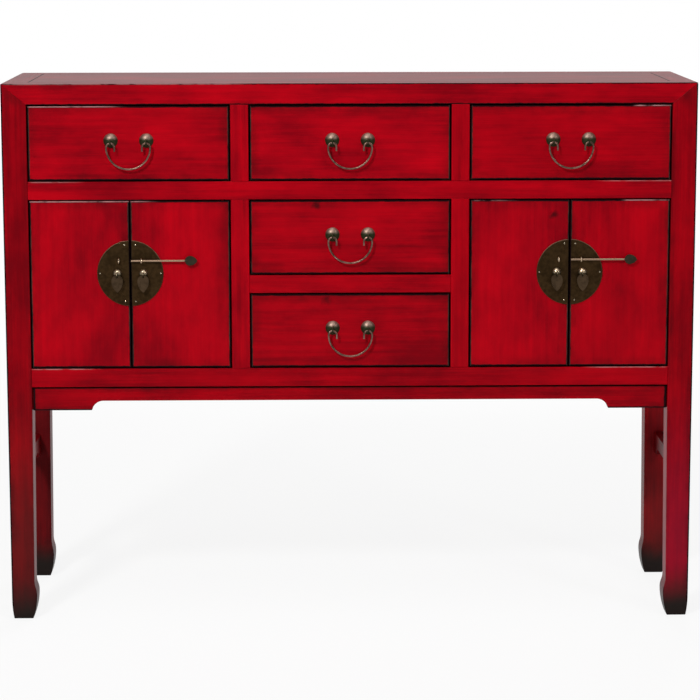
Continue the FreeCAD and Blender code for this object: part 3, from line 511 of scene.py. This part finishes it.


def lacquerBoard(node, grain, seed, bright=1.0, paintedSheenGrey=0.0, line=0.0, smudge=0.0, smudgeAmount=0.0, streaks=1.0,
                 blotch=0.4, insideShade=farAway, insideShadeLow=-farAway, upper=farAway, foot=-farAway, footFade=0.1, paintedSheen=0.0,
                 paintedSheenColour=lacquerPattern["colours"]["foot"], knot=(0, 0, 0), knotSize=0.0, knotAmount=0.75,
                 highlight=noHighlight, sideWear=0.0, shortest=0.0, box=None):
    low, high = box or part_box(node)
    highlightStart, highlightEnd, highlightAmount, highlightAgain = (*highlight, farAway)[:4]
    values = {
        "Grain": grainAlong[grain],
        "Seed": [seed * step for step in lacquer["seedStep"]],
        # a painted grey sheen is added to every channel
        "Bright": (*(share * bright + paintedSheenGrey for share in lacquer["bright"]), 1),
        "Deep": (*(share * bright + paintedSheenGrey for share in lacquer["deep"]), 1),
        "Low": low,
        "High": high,
        "Streaks": streaks,
        "Blotch": blotch,
        "Line": max(line, thinnest),
        "Highlight Start": highlightStart,
        "Highlight End": highlightEnd,
        "Highlight": highlightAmount,
        "Highlight Again": highlightAgain,
        "Side Wear": sideWear,
        "Smudge": max(smudge, thinnest),
        "Smudge Amount": smudgeAmount,
        "Inside Shade": insideShade,
        "Inside Shade Low": insideShadeLow,
        "Shade Above": upper,
        "Foot": foot,
        "Foot Fade": footFade,
        "Painted Sheen": paintedSheen,
        "Painted Sheen Color": paintedSheenColour,
        "Knot": knot,
        "Knot Size": max(knotSize, thinnest),
        "Knot Amount": knotAmount,
    }
    dress(node, groupMaterial("lacquer_" + node, lacquerGroup, values, lacquer["relief"], lacquer["ior"]))
    easeEdges(node, lacquer["ease"], shortest=shortest)


# top frame and its panel; the upper faces are painted a deeper red as shade
topBoards = {
    "grain": {"top_rail_front": "x", "top_rail_rear": "x", "top_rail_left": "y", "top_rail_right": "y"},
    "seed": 3.1,
    "bright": 0.95,
    "upper": 0.7993,
    "line": 0.0014,
    "frontLine": 0.002,
    # painted highlight along part of the front rail's upper arris
    "frontHighlight": (-0.5, -0.15, 0.45),
    # the panel's lower brightness is painted shade
    "panel": {"grain": "x", "seed": 33.7, "bright": 0.5, "line": 0.0012, "smudge": 0.01, "smudgeAmount": 0.4},
}
for number, (node, grain) in enumerate(topBoards["grain"].items()):
    front = node == "top_rail_front"
    lacquerBoard(node, grain, topBoards["seed"] + number, topBoards["bright"], upper=topBoards["upper"],
                 line=topBoards["frontLine" if front else "line"], highlight=topBoards["frontHighlight"] if front else noHighlight)
lacquerBoard("top_panel", **topBoards["panel"])
print("top dressed")

# frame of the case: flush joints, painted shade, black, inside the openings
caseFrame = {
    "bright": {"mid_rail": 0.92, "centre_rail": 0.92, "bottom_rail": 0.85, "stile_upper_left": 1.0,
               "stile_upper_right": 0.88, "stile_lower_left": 1.0, "stile_lower_right": 0.88},
    "seed": 7.1,
    "insideShadeDepth": 0.0012,
    # painted highlight along parts of the rails' upper arris
    "highlight": {"mid_rail": (-0.467, -0.39, 0.45, 0.375), "bottom_rail": (-0.47, -0.37, 0.6, 0.36)},
}
for number, (node, bright) in enumerate(caseFrame["bright"].items()):
    grain = "z" if node.startswith("stile") else "x"
    lacquerBoard(node, grain, caseFrame["seed"] + number, bright, insideShade=frontFace + caseFrame["insideShadeDepth"],
                 highlight=caseFrame["highlight"].get(node, noHighlight))
print("case frame dressed")

# legs, with a painted sheen low down and dark towards the hoof
legs = {
    "looks": {
        "leg_front_left": {"foot": 0.0, "footFade": 0.08, "paintedSheen": 0.62, "bright": 0.74,
                           "knot": (-0.491, frontFace, 0.782)},
        # painted pinkish sheen on the front right leg; the other legs take the foot's brown, which also darkens them
        "leg_front_right": {"foot": 0.016, "footFade": 0.07, "paintedSheen": 0.42, "paintedSheenColour": (0.3, 0.01, 0.033, 1),
                            "bright": 0.77, "knot": (0.491, frontFace, 0.782)},
        # the rear left leg is painted darker as the shade under the case
        "leg_rear_left": {"foot": 0.018, "footFade": 0.05, "bright": 0.34, "paintedSheenGrey": 0.004},
        "leg_rear_right": {"foot": 0.018, "footFade": 0.08, "paintedSheen": 0.5, "bright": 1.05, "paintedSheenGrey": 0.005},
    },
    "edges": {"line": 0.003, "smudge": 0.012, "smudgeAmount": 0.5, "knotSize": 0.024, "knotAmount": 0.4},
    "seed": 21.3,
    "seedStep": 1.7,
    "inner": 0.0016,
}
for number, (node, look) in enumerate(legs["looks"].items()):
    low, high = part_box(node)
    if node.endswith("left"):  # less black on the inner arris
        high.x += legs["inner"]
    else:
        low.x -= legs["inner"]
    lacquerBoard(node, "z", legs["seed"] + number * legs["seedStep"], box=(low, high), **legs["edges"], **look)
print("legs dressed")

# sides and the stretchers below them
sideBoards = {
    "looks": {
        "side_panel_left": {"smudge": 0.03, "smudgeAmount": 0.7, "bright": 0.95},
        "side_panel_right": {"smudge": 0.03, "smudgeAmount": 0.7, "bright": 0.95},
        "side_rails": {"smudge": 0.02, "smudgeAmount": 0.5, "bright": 0.95},
        "side_stretchers": {"smudge": 0.02, "smudgeAmount": 0.5, "bright": 0.5},
    },
    "seed": 34.7,
    "line": 0.0012,
}
for number, (node, look) in enumerate(sideBoards["looks"].items()):
    lacquerBoard(node, "y", sideBoards["seed"] + number, line=sideBoards["line"], **look)
print("sides dressed")

# apron, with a painted shadow line where it meets the rail, and painted shade just below it
apron = {
    "look": {"grain": "x", "seed": 38.7, "bright": 0.8, "line": 0.0032, "smudge": 0.012, "smudgeAmount": 0.6},
    "insideShadeDepth": 0.001,
    "gap": 0.0044,
    "shade": 0.0034,
    "endGap": 0.0026,
}
apronLow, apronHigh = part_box("apron_front")
apronLow.x += apron["endGap"]
apronHigh.x -= apron["endGap"]
# painted shade: black in the gap under the rail, darker red just below it
lacquerBoard("apron_front", insideShade=apronLow.y + apron["insideShadeDepth"], insideShadeLow=apronHigh.z - apron["gap"],
             upper=apronHigh.z - apron["shade"], box=(apronLow, apronHigh), **apron["look"])
print("apron dressed")

# drawer fronts and doors, with black rubbed into their edges that also paints the shade of the gaps around them wider
faceBoards = {
    # the black line is antiquing, widened to paint the shade of the gaps
    "edges": {"line": 0.003, "smudge": 0.02, "smudgeAmount": 0.5, "sideWear": 0.42, "shortest": 0.003},
    "drawers": {"seed": 47.9, "seedStep": 1.7, "look": {"grain": "x", "streaks": 0.9, "blotch": 0.5}},
    "doors": {"seed": 61.3, "seedStep": 1.9, "look": {"grain": "z", "streaks": 0.5, "blotch": 0.8}},
    "insideShadeDepth": 0.0016,
    "gap": 0.002,
    "bright": {"drawer_left_front": 0.97, "drawer_middle_front": 1.03, "drawer_right_front": 0.9,
               "drawer_upper_centre_front": 0.92, "drawer_lower_centre_front": 0.89, "door_right_inner": 1.05,
               "door_right_outer": 0.95},
    "knots": {"drawer_upper_centre_front": (-0.051, 0.6235, 0.011),  # x, z and size
              "drawer_lower_centre_front": (-0.037, 0.4835, 0.014), "door_right_inner": (0.298, 0.607, 0.008)},
    # painted highlight along parts of each board's upper arris
    "highlights": {"drawer_left_front": (-0.47, -0.33, 0.85), "drawer_right_front": (0.415, 0.48, 0.85),
             "door_left_outer": (-0.48, -0.3, 0.9), "door_left_inner": (-0.33, -0.285, 0.8),
             "door_right_inner": (0.17, 0.24, 0.5), "door_right_outer": (0.4, 0.48, 0.8)},
}


def faceBoard(node, number, kind):
    boards = faceBoards[kind]
    knotX, knotZ, knotSize = faceBoards["knots"].get(node, (0, 0, 0))
    low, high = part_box(node)
    if node.startswith("door"):  # leave the pivot pins out of the board's box
        low.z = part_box("bottom_rail")[1].z + faceBoards["gap"]
        high.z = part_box("mid_rail")[0].z - faceBoards["gap"]
    lacquerBoard(node, seed=boards["seed"] + number * boards["seedStep"], box=(low, high),
                 bright=faceBoards["bright"].get(node, 1.0), insideShade=frontFace + faceBoards["insideShadeDepth"],
                 knot=(knotX, frontFace, knotZ), knotSize=knotSize, highlight=faceBoards["highlights"].get(node, noHighlight),
                 **faceBoards["edges"], **boards["look"])


for number, name in enumerate(drawerNames):
    faceBoard(f"drawer_{name}_front", number, "drawers")
for number, name in enumerate(leafNames):
    faceBoard(f"door_{name}", number, "doors")
print("drawers and doors dressed")

# plain boards inside and behind
plainBoards = {
    "light": (0.26, 0.125, 0.065, 1),
    "dark": (0.095, 0.042, 0.022, 1),
    "ior": 1.3,
    "relief": 0.0002,
    "ease": 0.0006,
    "trayBack": 0.0102,  # thickness of a tray's back wall, whose grain runs across
    "grain": {"back_panel": "x", "rear_rail": "x", "cabinet_floor": "x", "partitions": "z", "drawer_runners": "y"},
    "planks": {"back_panel": ((0, 0, 1), 0.1125), "cabinet_floor": ((0, 1, 0), 0.092),
               "partitions": ((0, 1, 0), 0.083)},
}
trayGrain = {f"drawer_{name}_tray": "y" for name in drawerNames}
for node, grain in (plainBoards["grain"] | trayGrain).items():
    plankAxis, plankWidth = plainBoards["planks"].get(node, ((0, 0, 1), farAway))
    values = {"Grain": grainAlong[grain], "Light": plainBoards["light"], "Dark": plainBoards["dark"],
              "Plank Axis": plankAxis, "Plank Width": plankWidth,
              "Cross Start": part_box(node)[1].y - plainBoards["trayBack"] if node in trayGrain else farAway}
    dress(node, groupMaterial("plain_" + node, plainGroup, values, plainBoards["relief"], plainBoards["ior"]))
    if node not in trayGrain:  # the walls of a tray touch, and easing would open them
        easeEdges(node, plainBoards["ease"])
print("plain boards dressed")

# pulls and locks: bright knobs and rods, dark plates, drops and grips
bronze = {
    "plate": {"Worn": (0.057, 0.032, 0.013, 1), "Skin": (0.03, 0.017, 0.007, 1), "Cover": 0.5, "Gloss": 0.4,
              "Knob": (0.62, 0.48, 0.33, 1), "Knob Shade": (0.045, 0.036, 0.016, 1), "Knob Gloss": 0.3},
    "boss": {"Worn": (0.3, 0.22, 0.14, 1), "Skin": (0.12, 0.1, 0.06, 1), "Cover": 0.5, "Gloss": 0.25,
             "Knob": (0.34, 0.225, 0.18, 1), "Knob Shade": (0.035, 0.043, 0.02, 1), "Knob Start": farAway,
             "Knob Gloss": 0.45},
    "bail": {"Worn": (0.28, 0.172, 0.135, 1), "Skin": (0.095, 0.058, 0.043, 1), "Cover": 0.5, "Gloss": 0.28},
    "drop": {"Worn": (0.095, 0.06, 0.034, 1), "Skin": (0.055, 0.035, 0.02, 1), "Cover": 0.5, "Gloss": 0.36},
    "bolt": {"Worn": (0.055, 0.045, 0.03, 1), "Skin": (0.035, 0.03, 0.02, 1), "Cover": 0.5, "Gloss": 0.36,
             "Knob": (0.4, 0.27, 0.18, 1), "Knob Axis": (1, 0, 0)},
    "nail": {"Worn": (0.5, 0.42, 0.3, 1), "Skin": (0.2, 0.16, 0.1, 1), "Cover": 0.4, "Gloss": 0.18},
}
bronzeStart = {"Knob Axis": (0, 1, 0), "Knob Start": -farAway, "Knob Height": -farAway, "Knob Gloss": 0.2,
               "Rim Radius": farAway}  # no knob and no rim
bronzeRelief = 0.00006
bossShadeLine = 0.003  # height above a boss's middle that the painted shade reaches
boltGrip = 0.0185  # length of the dark grip at the end of a bolt
lockPlates = {
    "thick": 0.0015,
    "knobStart": 0.0018,  # in front of the board, where knobs and eyes stand out of the plate
    "seamGap": 0.002,  # from the middle of the round to the edge of each half
    "ease": 0.0005,
    "sharp": 60,
}


def bronzeLook(name, kind, relief=bronzeRelief, **places):
    values = bronzeStart | bronze[kind] | places
    return groupMaterial("bronze_" + name, bronzeGroup, values, relief, metallic=1.0)


# middle and radius of the round that half a plate belongs to, and the side of the seam that it is on
def plateRound(name):
    low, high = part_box(f"lock_plate_{name}")
    side = 1 if name in ("left_inner", "right_outer") else -1
    seam = low.x - lockPlates["seamGap"] if side > 0 else high.x + lockPlates["seamGap"]
    return {"middle": Vector((seam, frontFace, (low.z + high.z) / 2)), "radius": (high.z - low.z) / 2, "side": side}


for name in drawerNames:
    low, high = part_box(f"drawer_{name}_bosses")
    # the painted shade of a boss reaches a little above its middle
    shadeLine = (low.z + high.z) / 2 + bossShadeLine
    dress(f"drawer_{name}_bosses", bronzeLook(f"boss_{name}", "boss", **{"Knob Height": shadeLine}))
    dress(f"drawer_{name}_bail", bronzeLook(f"bail_{name}", "bail"))
for name in leafNames:
    plate = plateRound(name)
    # the plates' knobs are painted darker below the plate's middle as shade
    places = {"Knob Start": frontFace - lockPlates["knobStart"], "Knob Height": plate["middle"].z,
              "Rim Centre": plate["middle"], "Rim Radius": plate["radius"]}
    dress(f"lock_plate_{name}", bronzeLook(f"plate_{name}", "plate", **places))
    easeEdges(f"lock_plate_{name}", lockPlates["ease"], lockPlates["sharp"])
    dress(f"drop_{name}", bronzeLook(f"drop_{name}", "drop"))
for name in ("left", "right"):
    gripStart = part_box(f"bolt_{name}")[1].x - boltGrip
    dress(f"bolt_{name}", bronzeLook(f"bolt_{name}", "bolt", **{"Knob Start": gripStart}))
print("pulls and locks dressed")

# round-headed nails that hold the lock plates
nails = {
    "radius": 0.0013,
    "height": 0.0009,
    "rings": 4,
    "sides": 14,
    "relief": 0.0002,
    "places": [(0.008, 0.042), (0.0075, -0.0415), (0.0445, 0.0)],  # out from the seam, up from the middle
}


def nailHead(mesh, x, y, z):
    rows = []
    turns = [2 * math.pi * side / nails["sides"] for side in range(nails["sides"])]
    for ring in range(nails["rings"]):
        lean = math.pi / 2 * ring / nails["rings"]
        radius, lift = nails["radius"] * math.cos(lean), nails["height"] * math.sin(lean)
        rows.append([mesh.verts.new((x + radius * math.cos(t), y - lift, z + radius * math.sin(t))) for t in turns])
    crown = mesh.verts.new((x, y - nails["height"], z))
    for below, above in zip(rows, rows[1:]):
        for side in range(nails["sides"]):
            after = (side + 1) % nails["sides"]
            mesh.faces.new((below[side], below[after], above[after], above[side]))
    for side in range(nails["sides"]):
        mesh.faces.new((rows[-1][side], rows[-1][(side + 1) % nails["sides"]], crown))
    mesh.faces.new(rows[0][::-1])


nailLook = bronzeLook("nail", "nail", nails["relief"])
for name in leafNames:
    plate = plateRound(name)
    middle = plate["middle"]
    mesh = bmesh.new()
    for out, up in nails["places"]:
        nailHead(mesh, middle.x + out * plate["side"], middle.y - lockPlates["thick"], middle.z + up)
    bmesh.ops.recalc_face_normals(mesh, faces=mesh.faces)
    data = bpy.data.meshes.new(f"nails_{name}")
    mesh.to_mesh(data)
    mesh.free()
    data.polygons.foreach_set("use_smooth", [True] * len(data.polygons))
    heads = bpy.data.objects.new(f"nails_{name}", data)
    bpy.context.scene.collection.objects.link(heads)
    data.materials.append(nailLook)
    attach(heads, f"{name}_leaf")
print("nails set")

# floor and backdrop
stageLook = {
    "size": 14.0,
    "drop": 0.0005,
    "floorColour": (0.82, 0.82, 0.82, 1),
    "shadowShare": 0.14,
    "shadowRange": (0.9, 3.0),  # from the middle of the floor, where the shadow fades out
    "sky": (1, 1, 1, 1),
    "fill": 0.25,
    "frontGlow": 0.03,  # what the lacquer and the metal mirror, in front and behind
    "backGlow": 1.0,
    "glowRange": (-0.3, 0.2),
}
reach = stageLook["size"] / 2
corners = [(-reach, -reach, 0), (reach, -reach, 0), (reach, reach, 0), (-reach, reach, 0)]
floorMesh = bpy.data.meshes.new("floor")
floorMesh.from_pydata(corners, [], [(0, 1, 2, 3)])
floor = bpy.data.objects.new("floor", floorMesh)
floor.location.z = -stageLook["drop"]
bpy.context.scene.collection.objects.link(floor)


# whether the camera sees a place directly, and whether it sees it mirrored
def rayKinds(tree):
    rays = tree.nodes.new("ShaderNodeLightPath").outputs
    return rays["Is Camera Ray"], calc(tree, "MAXIMUM", rays["Is Glossy Ray"], rays["Is Transmission Ray"])


floorLook = bpy.data.materials.new("pale_floor")
floorLook.use_nodes = True
tree = floorLook.node_tree
tree.nodes.clear()
matt = tree.nodes.new("ShaderNodeBsdfDiffuse")
matt.inputs["Color"].default_value = stageLook["floorColour"]
white = tree.nodes.new("ShaderNodeEmission")
blend = tree.nodes.new("ShaderNodeMixShader")
away = vectorCalc(tree, "DISTANCE", tree.nodes.new("ShaderNodeTexCoord").outputs["Object"], (0, 0, 0))
whiteShare = ramp(tree, away, *stageLook["shadowRange"], 1 - stageLook["shadowShare"], 1.0)
direct, mirrored = rayKinds(tree)
feed(tree, blend.inputs[0], product(tree, calc(tree, "MAXIMUM", direct, mirrored), whiteShare))
feed(tree, blend.inputs[1], matt.outputs[0])
feed(tree, blend.inputs[2], white.outputs[0])
feed(tree, tree.nodes.new("ShaderNodeOutputMaterial").inputs["Surface"], blend.outputs[0])
floorMesh.materials.append(floorLook)

room = bpy.data.worlds.new("studio")
bpy.context.scene.world = room
room.use_nodes = True
tree = room.node_tree
sky = tree.nodes["Background"]
facing = split(tree, tree.nodes.new("ShaderNodeTexCoord").outputs["Generated"])
glow = ramp(tree, facing[1], *stageLook["glowRange"], stageLook["frontGlow"], stageLook["backGlow"])
direct, mirrored = rayKinds(tree)
brighter = calc(tree, "SUBTRACT", glow, stageLook["fill"])
level = calc(tree, "MULTIPLY_ADD", mirrored, brighter, stageLook["fill"])
feed(tree, sky.inputs["Strength"], calc(tree, "MAXIMUM", level, direct))
sky.inputs["Color"].default_value = stageLook["sky"]
print("floor and backdrop made")

# softboxes
softboxes = {
    "left": {"place": (-1.4, -2.9, 2.6), "size": 0.45, "watts": 86},
    "right": {"place": (2.2, -2.4, 2.2), "size": 0.5, "watts": 20},
    "over": {"place": (0.0, -1.0, 3.0), "size": 1.8, "watts": 18},
    "back": {"place": (0.6, 2.9, 1.9), "size": 1.4, "watts": 40},
}
lampAim = Vector((0, 0, 0.55))  # inside the case
for name, box in softboxes.items():
    lamp = bpy.data.lights.new("softbox_" + name, "AREA")
    lamp.size = box["size"]
    lamp.energy = box["watts"]
    light = bpy.data.objects.new("softbox_" + name, lamp)
    light.location = box["place"]
    light.visible_glossy = name != "back"  # the lacquer would mirror it in the top
    light.rotation_euler = (lampAim - light.location).to_track_quat("-Z", "Y").to_euler()
    bpy.context.scene.collection.objects.link(light)
print("lights set")

# camera in front, pitched down; metres, degrees and millimetres
view = {"place": (-0.057, -3.695, 1.023), "yaw": -0.91, "pitch": 8.99, "roll": -0.08, "lens": 125.9, "sensor": 36,
        "shiftY": -0.05}


def turn(degrees, axis):
    return Matrix.Rotation(math.radians(degrees), 4, axis)


camera = bpy.data.objects.new("camera", bpy.data.cameras.new("camera"))
camera.data.lens = view["lens"]
camera.data.sensor_width = view["sensor"]
camera.data.shift_y = view["shiftY"]
aim = turn(view["yaw"], "Z") @ turn(90 - view["pitch"], "X")
camera.matrix_world = Matrix.Translation(view["place"]) @ aim @ turn(view["roll"], "Z")
bpy.context.scene.collection.objects.link(camera)
bpy.context.scene.camera = camera
bpy.context.scene.view_settings.view_transform = "Standard"
print("camera set")
